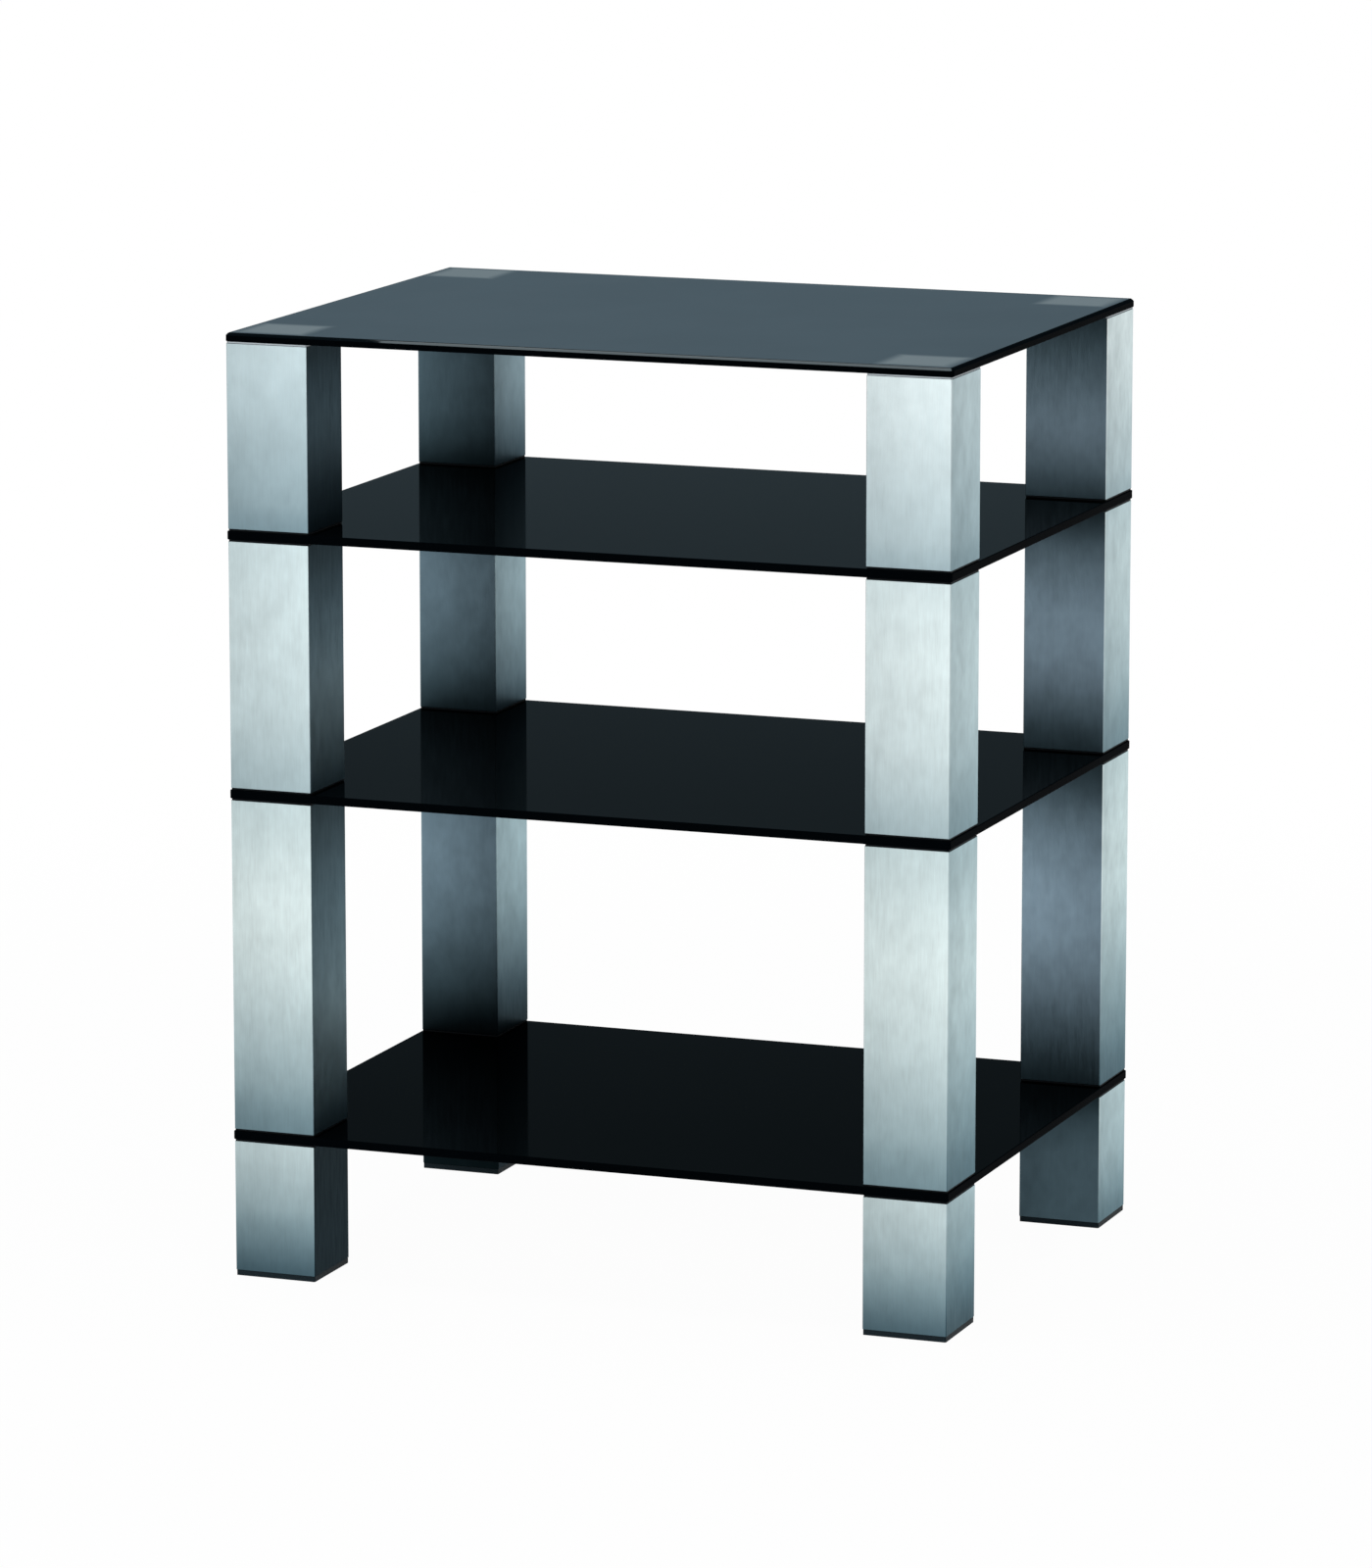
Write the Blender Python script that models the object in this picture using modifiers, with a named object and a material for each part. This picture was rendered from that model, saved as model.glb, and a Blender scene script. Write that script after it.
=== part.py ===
"""A free-standing rack for hi-fi and television equipment, modelled in metres with +Z up.

Four black glass shelves are clamped between square aluminium posts. Each post is a stack of four tubes with
a moulded plug in every tube end, and a steel rod down its axis pulls the stack together: the rod screws into
a plate that is bonded under the top shelf, and a nut in the foot cap tightens it from below.

The front faces -Y, left and right are as seen from the front, and the origin is on the floor at the middle.
"""

import math

import bmesh
import bpy
from mathutils import Matrix

# Glass shelves
SHELF_WIDTH = 0.700
SHELF_DEPTH = 0.535
GLASS_THICKNESS = 0.008
SHELF_CORNER_RADIUS = 0.0025
GLASS_ARRIS = 0.0008

# Square aluminium posts
POST_SIDE = 0.080
POST_WALL = 0.002
POST_OUTER_RADIUS = 0.0012
POST_INNER_RADIUS = 0.0010
POST_INSET = 0.001
FOOT_POST_LENGTH = 0.123
LOWER_POST_LENGTH = 0.3105
MIDDLE_POST_LENGTH = 0.2295
UPPER_POST_LENGTH = 0.171

# Moulded plugs, and the bonded plate that has the same form
PLUG_FLANGE = 0.0012
PLUG_SETBACK = 0.0004
PLUG_DEPTH = 0.014
PLUG_SKIRT = 0.0025
PLUG_RIB = 0.0030
PLUG_BOSS_WALL = 0.0045
PLATE_ROOF = 0.003

# Foot caps
FOOT_SOLE = 0.005
FOOT_ROOF = 0.005
FOOT_BOSS_WALL = 0.004

# Tie rods and flange nuts
ROD_DIAMETER = 0.008
ROD_CHAMFER = 0.001
ROD_PROTRUSION = 0.001
NUT_WALL = 0.0025
NUT_HEIGHT = 0.008
NUT_FLANGE_WIDTH = 0.0025
NUT_FLANGE_THICKNESS = 0.002
NUT_FLOOR_CLEARANCE = 0.002

# Clearances
SEAT_GAP = 0.0003
PLUG_CLEARANCE = 0.0003
ROD_CLEARANCE = 0.0005
NUT_CLEARANCE = 0.0010
GLASS_HOLE_CLEARANCE = 0.0010
CUTTER_OVERRUN = 0.005

# Facets of round forms
CORNER_STEPS = 3
BORE_SIDES = 12
ROUND_SIDES = 20
ARRIS_STEPS = 2
WELD_DISTANCE = 1e-6
FLAT_ANGLE = math.radians(1)
SMOOTH_ANGLE = math.radians(35)
ARRIS_ANGLE = math.radians(60)

# Sizes that follow from those above
BORE_RADIUS = ROD_DIAMETER / 2 + ROD_CLEARANCE
GLASS_HOLE_RADIUS = ROD_DIAMETER / 2 + GLASS_HOLE_CLEARANCE
SPIGOT_SIDE = POST_SIDE - 2 * POST_WALL - 2 * PLUG_CLEARANCE
FLANGE_SIDE = POST_SIDE - 2 * PLUG_SETBACK
PLUG_BOSS_RADIUS = BORE_RADIUS + PLUG_BOSS_WALL
NUT_THREAD_RADIUS = ROD_DIAMETER / 2 + SEAT_GAP
NUT_ACROSS_FLATS = ROD_DIAMETER + 2 * NUT_WALL
NUT_FLANGE_RADIUS = NUT_ACROSS_FLATS / 2 + NUT_FLANGE_WIDTH
NUT_RECESS_RADIUS = NUT_FLANGE_RADIUS + NUT_CLEARANCE
NUT_RECESS_DEPTH = NUT_FLOOR_CLEARANCE + NUT_HEIGHT + SEAT_GAP
FOOT_HEIGHT = NUT_RECESS_DEPTH + FOOT_ROOF
PLATE_HOLE_DEPTH = PLUG_DEPTH - PLATE_ROOF

TIERS = (
    ("foot", FOOT_POST_LENGTH),
    ("lower", LOWER_POST_LENGTH),
    ("middle", MIDDLE_POST_LENGTH),
    ("upper", UPPER_POST_LENGTH),
)
SHELVES = ("lower_shelf", "middle_shelf", "upper_shelf", "top_shelf")
SIDES = (("left", -1), ("right", 1))
ENDS = (("front", -1), ("back", 1))


def clear_scene():
    for old in list(bpy.data.objects):
        bpy.data.objects.remove(old, do_unlink=True)


def new_collection(name):
    collection = bpy.data.collections.new(name)
    bpy.context.scene.collection.children.link(collection)
    return collection


def new_material(name, colour, roughness, metallic):
    material = bpy.data.materials.new(name)
    material.use_nodes = True
    shader = material.node_tree.nodes["Principled BSDF"]
    shader.inputs["Base Color"].default_value = (*colour, 1.0)
    shader.inputs["Roughness"].default_value = roughness
    shader.inputs["Metallic"].default_value = metallic
    return material


def rounded_rectangle(width, depth, radius):
    """The outline of a rectangle whose four corners are arcs, counter-clockwise."""
    points = []
    for quadrant, (side_x, side_y) in enumerate(((1, 1), (-1, 1), (-1, -1), (1, -1))):
        centre_x = side_x * (width / 2 - radius)
        centre_y = side_y * (depth / 2 - radius)
        for step in range(CORNER_STEPS + 1):
            angle = (quadrant + step / CORNER_STEPS) * math.pi / 2
            points.append((centre_x + radius * math.cos(angle), centre_y + radius * math.sin(angle)))
    return points


def polygon(radius, sides):
    """The outline of a regular polygon with its corners on a circle."""
    turns = [2 * math.pi * side / sides for side in range(sides)]
    return [(radius * math.cos(turn), radius * math.sin(turn)) for turn in turns]


def moulded_pockets(side, boss_radius):
    """Four pockets in a square block, which leave its skirt, a cross of ribs and a round boss."""
    inner = side / 2 - PLUG_SKIRT
    rib = PLUG_RIB / 2
    start = math.asin(rib / boss_radius)
    sweep = math.pi / 2 - 2 * start
    angles = [start + sweep * step / CORNER_STEPS for step in range(CORNER_STEPS + 1)]
    pocket = [(boss_radius * math.cos(angle), boss_radius * math.sin(angle)) for angle in angles]
    pocket += [(rib, inner), (inner, inner), (inner, rib)]
    pockets = []
    for _ in range(4):
        pockets.append(pocket)
        pocket = [(-y, x) for x, y in pocket]
    return pockets


def evaluated_mesh(temporary):
    """The mesh that a temporary object makes with its modifiers. The object is removed."""
    bpy.context.view_layer.update()
    graph = bpy.context.evaluated_depsgraph_get()
    mesh = bpy.data.meshes.new_from_object(temporary.evaluated_get(graph))
    bpy.data.objects.remove(temporary, do_unlink=True)
    return mesh


def linked_object(name, data):
    made = bpy.data.objects.new(name, data)
    bpy.context.scene.collection.objects.link(made)
    return made


def extrusion(outlines, bottom, top):
    """A prism between two heights. The first outline is its rim, and the others are holes through it."""
    curve = bpy.data.curves.new("outline", "CURVE")
    curve.dimensions = "2D"
    curve.fill_mode = "BOTH"
    curve.extrude = (top - bottom) / 2
    for outline in outlines:
        spline = curve.splines.new("POLY")
        spline.points.add(len(outline) - 1)
        for point, (x, y) in zip(spline.points, outline):
            point.co = (x, y, 0, 1)
        spline.use_cyclic_u = True
    mesh = evaluated_mesh(linked_object("outline", curve))
    bpy.data.curves.remove(curve)
    mesh.transform(Matrix.Translation((0, 0, (top + bottom) / 2)))
    shape = bmesh.new()
    shape.from_mesh(mesh)
    bmesh.ops.remove_doubles(shape, verts=shape.verts, dist=WELD_DISTANCE)
    bmesh.ops.recalc_face_normals(shape, faces=shape.faces)
    shape.to_mesh(mesh)
    shape.free()
    return mesh


def combined(first, operation, second):
    """The Boolean union or difference of two closed meshes."""
    body = linked_object("body", first)
    tool = linked_object("tool", second)
    boolean = body.modifiers.new("combine", "BOOLEAN")
    boolean.operation = operation
    boolean.solver = "EXACT"
    boolean.object = tool
    mesh = evaluated_mesh(body)
    bpy.data.objects.remove(tool, do_unlink=True)
    return mesh


def finished(mesh, name, material):
    """Names a mesh, gives it its material, and shades its round faces smooth between sharp edges."""
    mesh.name = name
    mesh.materials.clear()
    mesh.materials.append(material)
    mesh.shade_smooth()
    mesh.set_sharp_from_angle(angle=SMOOTH_ANGLE)
    return mesh


def post_mesh(length):
    """A length of square tube with rounded corners, standing on z = 0."""
    bore_side = POST_SIDE - 2 * POST_WALL
    outer = rounded_rectangle(POST_SIDE, POST_SIDE, POST_OUTER_RADIUS)
    inner = rounded_rectangle(bore_side, bore_side, POST_INNER_RADIUS)
    return extrusion([outer, inner], 0, length)


def flanged_block(flange, top, boss_radius):
    """A square flange from z = 0, and on it the pocketed block that fills the mouth of a post."""
    rim = rounded_rectangle(FLANGE_SIDE, FLANGE_SIDE, POST_OUTER_RADIUS)
    spigot = rounded_rectangle(SPIGOT_SIDE, SPIGOT_SIDE, POST_INNER_RADIUS)
    pockets = moulded_pockets(SPIGOT_SIDE, boss_radius)
    return combined(
        extrusion([rim], 0, flange), "UNION", extrusion([spigot, *pockets], flange / 2, top)
    )


def plug_mesh():
    """The plug of a post end: the rod passes through its boss."""
    top = PLUG_FLANGE + PLUG_DEPTH
    bore = extrusion([polygon(BORE_RADIUS, BORE_SIDES)], -CUTTER_OVERRUN, top + CUTTER_OVERRUN)
    return combined(flanged_block(PLUG_FLANGE, top, PLUG_BOSS_RADIUS), "DIFFERENCE", bore)


def plate_mesh():
    """The plate under the top shelf: its flange is bonded to the glass, and the rod ends in its hole."""
    top = PLUG_FLANGE + PLUG_DEPTH
    hole = extrusion([polygon(BORE_RADIUS, BORE_SIDES)], top - PLATE_HOLE_DEPTH, top + CUTTER_OVERRUN)
    return combined(flanged_block(PLUG_FLANGE, top, PLUG_BOSS_RADIUS), "DIFFERENCE", hole)


def foot_cap_mesh():
    """The cap that the post stands on, with a recess under its boss for the nut."""
    block = flanged_block(FOOT_SOLE, FOOT_HEIGHT, NUT_RECESS_RADIUS + FOOT_BOSS_WALL)
    recess = extrusion([polygon(NUT_RECESS_RADIUS, ROUND_SIDES)], -CUTTER_OVERRUN, NUT_RECESS_DEPTH)
    bore = extrusion([polygon(BORE_RADIUS, BORE_SIDES)], 0, FOOT_HEIGHT + CUTTER_OVERRUN)
    return combined(combined(block, "DIFFERENCE", recess), "DIFFERENCE", bore)


def nut_mesh():
    """A hexagon nut with a round flange at its top, standing on z = 0."""
    across_corners = NUT_ACROSS_FLATS / math.cos(math.pi / 6)
    hexagon = extrusion([polygon(across_corners / 2, 6)], 0, NUT_HEIGHT - NUT_FLANGE_THICKNESS / 2)
    disc = extrusion(
        [polygon(NUT_FLANGE_RADIUS, ROUND_SIDES)], NUT_HEIGHT - NUT_FLANGE_THICKNESS, NUT_HEIGHT
    )
    thread = extrusion(
        [polygon(NUT_THREAD_RADIUS, BORE_SIDES)], -CUTTER_OVERRUN, NUT_HEIGHT + CUTTER_OVERRUN
    )
    return combined(combined(hexagon, "UNION", disc), "DIFFERENCE", thread)


def rod_mesh(length):
    """A round bar with chamfered ends, standing on z = 0. Its facets stay inside its true diameter."""
    bar = bmesh.new()
    radius = ROD_DIAMETER / 2
    bmesh.ops.create_cone(
        bar, cap_ends=True, segments=BORE_SIDES, radius1=radius, radius2=radius, depth=length
    )
    rims = [edge for edge in bar.edges if abs(edge.verts[0].co.z - edge.verts[1].co.z) < WELD_DISTANCE]
    bmesh.ops.bevel(bar, geom=rims, offset=ROD_CHAMFER, segments=1, affect="EDGES")
    bmesh.ops.translate(bar, verts=bar.verts, vec=(0, 0, length / 2))
    mesh = bpy.data.meshes.new("rod")
    bar.to_mesh(mesh)
    bar.free()
    return mesh


def shelf_mesh():
    """A plate of glass on z = 0 with rounded corners. Its faces are whole, so its rim can be bevelled."""
    rim = rounded_rectangle(SHELF_WIDTH, SHELF_DEPTH, SHELF_CORNER_RADIUS)
    mesh = extrusion([rim], 0, GLASS_THICKNESS)
    plate = bmesh.new()
    plate.from_mesh(mesh)
    bmesh.ops.dissolve_limit(plate, angle_limit=FLAT_ANGLE, verts=plate.verts, edges=plate.edges)
    plate.to_mesh(mesh)
    plate.free()
    return mesh


def post_axes():
    """The name of each corner, and the place of its post's axis on the floor."""
    reach_x = SHELF_WIDTH / 2 - POST_INSET - POST_SIDE / 2
    reach_y = SHELF_DEPTH / 2 - POST_INSET - POST_SIDE / 2
    return [
        (f"{end}_{side}", (along_x * reach_x, along_y * reach_y))
        for end, along_y in ENDS
        for side, along_x in SIDES
    ]


def stack_levels():
    """The bottom of each tier's post, and of the shelf on it, going up from the floor."""
    levels = []
    post_bottom = FOOT_SOLE + SEAT_GAP
    for _, length in TIERS:
        shelf_bottom = post_bottom + length + 2 * SEAT_GAP + PLUG_FLANGE
        levels.append((post_bottom, shelf_bottom))
        post_bottom = shelf_bottom + GLASS_THICKNESS + 2 * SEAT_GAP + PLUG_FLANGE
    return levels


def place(collection, parent, name, mesh, height, upside_down=False):
    piece = bpy.data.objects.new(name, mesh)
    collection.objects.link(piece)
    piece.parent = parent
    piece.location = (0, 0, height)
    if upside_down:
        piece.rotation_euler = (math.pi, 0, 0)
    return piece


def empty(collection, name, location, parent=None):
    holder = bpy.data.objects.new(name, None)
    collection.objects.link(holder)
    holder.location = location
    holder.parent = parent
    return holder


def rod_hole_cutter(collection, axes, height):
    """Four round bars, as long as the rack is high, where the rods pass through the glass."""
    outline = polygon(GLASS_HOLE_RADIUS, BORE_SIDES)
    outlines = [[(x + centre_x, y + centre_y) for x, y in outline] for _, (centre_x, centre_y) in axes]
    cutter = bpy.data.objects.new("rod_holes", extrusion(outlines, 0, height))
    collection.objects.link(cutter)
    cutter.hide_render = True
    cutter.display_type = "WIRE"
    return cutter


def add_shelves(collection, root, levels, glass, cutter):
    """The four shelves. The rods pass through all but the top one."""
    mesh = finished(shelf_mesh(), "shelf", glass)
    for name, (_, shelf_bottom) in zip(SHELVES, levels):
        shelf = place(collection, root, name, mesh, shelf_bottom)
        arris = shelf.modifiers.new("arris", "BEVEL")
        arris.width = GLASS_ARRIS
        arris.segments = ARRIS_STEPS
        arris.limit_method = "ANGLE"
        arris.angle_limit = ARRIS_ANGLE
        if name != SHELVES[-1]:
            holes = shelf.modifiers.new("rod holes", "BOOLEAN")
            holes.operation = "DIFFERENCE"
            holes.solver = "EXACT"
            holes.object = cutter


def add_post(collection, root, corner, axis, levels, meshes):
    """One corner of the rack: its four tubes, their plugs, and the rod that ties them."""
    holder = empty(collection, f"{corner}_axis", (*axis, 0), root)
    place(collection, holder, f"foot_cap_{corner}", meshes["cap"], 0)
    place(collection, holder, f"flange_nut_{corner}", meshes["nut"], NUT_FLOOR_CLEARANCE)
    place(collection, holder, f"tie_rod_{corner}", meshes["rod"], NUT_FLOOR_CLEARANCE - ROD_PROTRUSION)
    for (tier, _), (post_bottom, shelf_bottom) in zip(TIERS, levels):
        place(collection, holder, f"{tier}_post_{corner}", meshes[tier], post_bottom)
        if tier != TIERS[0][0]:
            plug_bottom = post_bottom - SEAT_GAP - PLUG_FLANGE
            place(collection, holder, f"{tier}_post_base_plug_{corner}", meshes["plug"], plug_bottom)
        under_shelf = shelf_bottom - SEAT_GAP
        if tier != TIERS[-1][0]:
            place(collection, holder, f"{tier}_post_top_plug_{corner}", meshes["plug"], under_shelf, True)
        else:
            place(collection, holder, f"bonded_plate_{corner}", meshes["plate"], under_shelf, True)


def main():
    clear_scene()
    rack = new_collection("glass_rack")
    cutters = new_collection("cutters")
    glass = new_material("black_glass", (0.012, 0.015, 0.018), 0.05, 0.0)
    aluminium = new_material("brushed_aluminium", (0.76, 0.78, 0.79), 0.32, 1.0)
    plastic = new_material("black_plastic", (0.015, 0.015, 0.016), 0.6, 0.0)
    plate_metal = new_material("plate_aluminium", (0.70, 0.71, 0.72), 0.45, 1.0)
    steel = new_material("zinc_plated_steel", (0.55, 0.56, 0.58), 0.35, 1.0)

    axes = post_axes()
    levels = stack_levels()
    top_of_plate = levels[-1][1] - SEAT_GAP
    hole_end = top_of_plate - PLUG_FLANGE - PLATE_ROOF
    rod_length = hole_end - SEAT_GAP - (NUT_FLOOR_CLEARANCE - ROD_PROTRUSION)
    meshes = {tier: finished(post_mesh(length), f"{tier}_post", aluminium) for tier, length in TIERS}
    meshes["plug"] = finished(plug_mesh(), "plug", plastic)
    meshes["plate"] = finished(plate_mesh(), "bonded_plate", plate_metal)
    meshes["cap"] = finished(foot_cap_mesh(), "foot_cap", plastic)
    meshes["nut"] = finished(nut_mesh(), "flange_nut", steel)
    meshes["rod"] = finished(rod_mesh(rod_length), "tie_rod", steel)

    root = empty(rack, "rack", (0, 0, 0))
    cutter = rod_hole_cutter(cutters, axes, top_of_plate)
    add_shelves(rack, root, levels, glass, cutter)
    for corner, axis in axes:
        add_post(rack, root, corner, axis, levels, meshes)


main()
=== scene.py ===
# %% [markdown]
# # A glass and aluminium hi-fi rack
#
# The rack is four sheets of black glass clamped between stacks of square, brushed aluminium tubes. The
# packed CAD model already holds every solid at its real size, so this lesson only gives the rack its
# looks: it builds finer surfaces for the glass and the tubes, gives each piece a finish, and sets up a
# plain studio.
#
# The first step loads the packed model. Its nodes are the ruler for everything below: each new piece
# takes its place and its outer size from the node that it stands for.

# %% Load the packed model
import math
from types import SimpleNamespace

import bpy
import numpy as np
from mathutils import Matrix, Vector


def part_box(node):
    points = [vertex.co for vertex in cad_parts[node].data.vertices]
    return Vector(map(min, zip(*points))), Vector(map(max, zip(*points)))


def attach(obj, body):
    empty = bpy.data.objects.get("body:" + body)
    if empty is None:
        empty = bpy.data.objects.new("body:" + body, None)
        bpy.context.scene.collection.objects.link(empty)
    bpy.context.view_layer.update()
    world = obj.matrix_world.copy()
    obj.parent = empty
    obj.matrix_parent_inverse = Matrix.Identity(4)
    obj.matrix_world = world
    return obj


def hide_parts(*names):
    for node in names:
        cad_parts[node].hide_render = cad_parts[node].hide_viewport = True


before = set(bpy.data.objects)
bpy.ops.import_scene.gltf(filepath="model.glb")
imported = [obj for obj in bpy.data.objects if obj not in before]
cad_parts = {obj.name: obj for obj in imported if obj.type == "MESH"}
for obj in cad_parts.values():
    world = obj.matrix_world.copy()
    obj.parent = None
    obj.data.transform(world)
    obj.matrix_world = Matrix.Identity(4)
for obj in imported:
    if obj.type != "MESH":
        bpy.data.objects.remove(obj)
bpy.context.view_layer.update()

BODY = "root"
CORNERS = ("front_left", "front_right", "back_left", "back_right")
TIERS = ("foot", "lower", "middle", "upper")
SHELVES = ("lower_shelf", "middle_shelf", "upper_shelf", "top_shelf")

# %% [markdown]
# ## Camera
#
# The photograph looks at the front right corner from a little above the top shelf, through a long lens.
# The angles and the focal length below came from fitting the corners of the shelves to the picture. The
# camera is placed on a sphere round the middle of the rack and turned to face it, so no lens shift is
# needed.

# %% Camera
CAMERA_AZIMUTH = math.radians(20.65)
CAMERA_ELEVATION = math.radians(10.73)
CAMERA_DISTANCE = 7.19
CAMERA_TARGET = Vector((-0.0016, 0.0, 0.4415))
CAMERA_LENS = 176.1
SENSOR_LONG_SIDE = 36.0
FAR_CLIP = 200.0

towards_camera = Vector((
    math.sin(CAMERA_AZIMUTH) * math.cos(CAMERA_ELEVATION),
    -math.cos(CAMERA_AZIMUTH) * math.cos(CAMERA_ELEVATION),
    math.sin(CAMERA_ELEVATION),
))
camera_data = bpy.data.cameras.new("photo_camera")
camera_data.lens = CAMERA_LENS
camera_data.sensor_width = SENSOR_LONG_SIDE
camera_data.clip_end = FAR_CLIP
camera = bpy.data.objects.new("photo_camera", camera_data)
camera.location = CAMERA_TARGET + towards_camera * CAMERA_DISTANCE
camera.rotation_mode = "QUATERNION"
camera.rotation_quaternion = (-towards_camera).to_track_quat("-Z", "Y")
bpy.context.scene.collection.objects.link(camera)
bpy.context.scene.camera = camera
bpy.context.scene.view_settings.view_transform = "Standard"
print("camera stands at", [round(value, 3) for value in camera.location])

# %% [markdown]
# ## Node helper
#
# Every finish of the rack is one Principled shader fed by a few texture nodes. They could be wired up
# one call at a time, but a small class keeps that short: it makes a material, adds nodes, and lets an
# input take either a plain value or the output of another node.


# %% Node helper
class Finish:
    """A node tree with short ways to add nodes and to fill their inputs."""

    def __init__(self, tree):
        self.tree = tree

    @classmethod
    def material(cls, name, **sockets):
        """A new Principled material, with constants set straight on the shader's own sockets."""
        made = bpy.data.materials.new(name)
        made.use_nodes = True
        finish = cls(made.node_tree)
        finish.made = made
        finish.shader = made.node_tree.nodes["Principled BSDF"]
        for socket, value in sockets.items():
            finish.set(socket.replace("_", " "), value)
        return finish

    def feed(self, socket, value):
        """Links an output to the socket, or sets the socket to a plain value."""
        if isinstance(value, bpy.types.NodeSocket):
            self.tree.links.new(value, socket)
        else:
            socket.default_value = value

    def set(self, name, value):
        """Fills one of the shader's own sockets."""
        self.feed(self.shader.inputs[name], value)

    def node(self, kind, *inputs, **settings):
        """Adds a node, fills its inputs in order where they aren't None, and returns it."""
        made = self.tree.nodes.new("ShaderNode" + kind)
        for name, value in settings.items():
            setattr(made, name, value)
        for socket, value in zip(made.inputs, inputs):
            if value is not None:
                self.feed(socket, value)
        return made

    def math(self, operation, *values):
        """A sum, product or other operation on numbers."""
        return self.node("Math", *values, operation=operation).outputs[0]

    def vector(self, operation, first, second, output="Vector"):
        """An operation on two vectors. A dot product is found under the output named Value."""
        return self.node("VectorMath", first, second, operation=operation).outputs[output]

    def ranged(self, value, low, high, to_low=0.0, to_high=1.0, smooth=True):
        """value carried from low..high to to_low..to_high and clamped there."""
        kind = "SMOOTHSTEP" if smooth else "LINEAR"
        made = self.node("MapRange", value, low, high, to_low, to_high, interpolation_type=kind)
        return made.outputs[0]

    def place(self):
        """The point's place in the rack's own frame, in metres."""
        return self.node("TexCoord").outputs["Object"]

    def noise(self, scale, detail=2.0, roughness=0.5):
        """Noise on Object coordinates, stretched by a separate scale along each axis."""
        mapped = self.node("Mapping", self.place(), None, None, scale).outputs[0]
        made = self.node("TexNoise", mapped)
        made.inputs["Scale"].default_value = 1.0
        made.inputs["Detail"].default_value = detail
        made.inputs["Roughness"].default_value = roughness
        return made.outputs[0]

    def mixed(self, factor, first, second, blend="MIX"):
        """A colour mix: first at factor 0, second at factor 1."""
        made = self.node("Mix", data_type="RGBA", blend_type=blend)
        for socket, value in zip((0, 6, 7), (factor, first, second)):
            self.feed(made.inputs[socket], value)
        return made.outputs[2]

    def bump(self, height, strength, distance):
        """Tilts the shading normal as if the surface rose by height x distance."""
        made = self.node("Bump")
        self.feed(made.inputs["Height"], height)
        made.inputs["Strength"].default_value = strength
        made.inputs["Distance"].default_value = distance
        self.set("Normal", made.outputs[0])


print("Finish takes", [name for name in vars(Finish) if not name.startswith("_")])

# %% [markdown]
# ## Studio
#
# The rack stands in a white studio, under a wide lamp. The world is the room round it: white at the
# horizon, with a cool and dimmer band above that falls to a dim ceiling. Black glass seen at a low
# angle mirrors the part of the room just above the horizon, so this band is what keeps the shelves dark
# and gives them their slate colour.

# %% World
HORIZON_LIGHT = 1.0
BAND_LIGHT = 0.43
CEILING_LIGHT = 0.07
BAND_TINT = (0.67, 0.97, 1.14, 1.0)
WHITE = (1.0, 1.0, 1.0, 1.0)
HORIZON_TOP = math.sin(math.radians(3.5))
BAND_START = math.sin(math.radians(6.3))
CEILING_START = math.sin(math.radians(24.0))

world = bpy.data.worlds.new("studio")
world.use_nodes = True
bpy.context.scene.world = world
room = Finish(world.node_tree)
direction = room.node("TexCoord").outputs["Generated"]
height = room.node("SeparateXYZ", direction).outputs[2]
near_horizon = room.ranged(height, HORIZON_TOP, BAND_START, 1.0, 0.0)
band_light = room.ranged(height, BAND_START, CEILING_START, BAND_LIGHT, CEILING_LIGHT)
bright = room.math("MULTIPLY_ADD", near_horizon, HORIZON_LIGHT - BAND_LIGHT, band_light)
background = world.node_tree.nodes["Background"]
room.feed(background.inputs["Color"], room.mixed(near_horizon, BAND_TINT, WHITE))
room.feed(background.inputs["Strength"], bright)
print("world light falls from", HORIZON_LIGHT, "to", CEILING_LIGHT)

# %% [markdown]
# The floor is white. For the camera, and for metal and glass that mirror it, it is mostly a plain white
# glow, so that it stays white far away. The rest of it is a matt surface, which keeps a soft shadow
# under the rack.

# %% Floor
FLOOR_HALF = 60.0
FLOOR_PAINT = (0.87, 0.87, 0.87, 1.0)
FLOOR_ROUGHNESS = 0.9
NEAR_GLOW, FAR_GLOW = 0.975, 1.0
GLOW_START, GLOW_FULL = 0.7, 2.6

floor_mesh = bpy.data.meshes.new("floor")
floor_corners = np.array([(-1, -1, 0), (1, -1, 0), (1, 1, 0), (-1, 1, 0)]) * FLOOR_HALF
floor_mesh.from_pydata(floor_corners.tolist(), [], [(0, 1, 2, 3)])
floor = bpy.data.objects.new("floor", floor_mesh)
bpy.context.scene.collection.objects.link(floor)

paint = Finish.material("white_floor", Base_Color=FLOOR_PAINT, Roughness=FLOOR_ROUGHNESS)
path = paint.node("LightPath").outputs
seen = paint.math("MAXIMUM", path["Is Camera Ray"], path["Is Glossy Ray"])
seen = paint.math("MAXIMUM", seen, path["Is Transmission Ray"])
distance = paint.node("VectorMath", paint.place(), operation="LENGTH").outputs["Value"]
share = paint.math("MULTIPLY", seen, paint.ranged(distance, GLOW_START, GLOW_FULL, NEAR_GLOW, FAR_GLOW))
glow = paint.node("Emission", WHITE, 1.0).outputs[0]
blend = paint.node("MixShader", share, paint.shader.outputs[0], glow).outputs[0]
paint.feed(paint.tree.nodes["Material Output"].inputs["Surface"], blend)
floor_mesh.materials.append(paint.made)
print("floor is", 2 * FLOOR_HALF, "m square")

# %% [markdown]
# Two wide soft boxes light the rack. One hangs overhead: it lights the top shelf, and its image is the
# bright line along the front edge of the top glass. The other stands to the front left and lifts the
# fronts of the tubes above their sides.

# %% Soft boxes
OVERHEAD_PLACE = (0.0, -0.20, 3.37)
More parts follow.
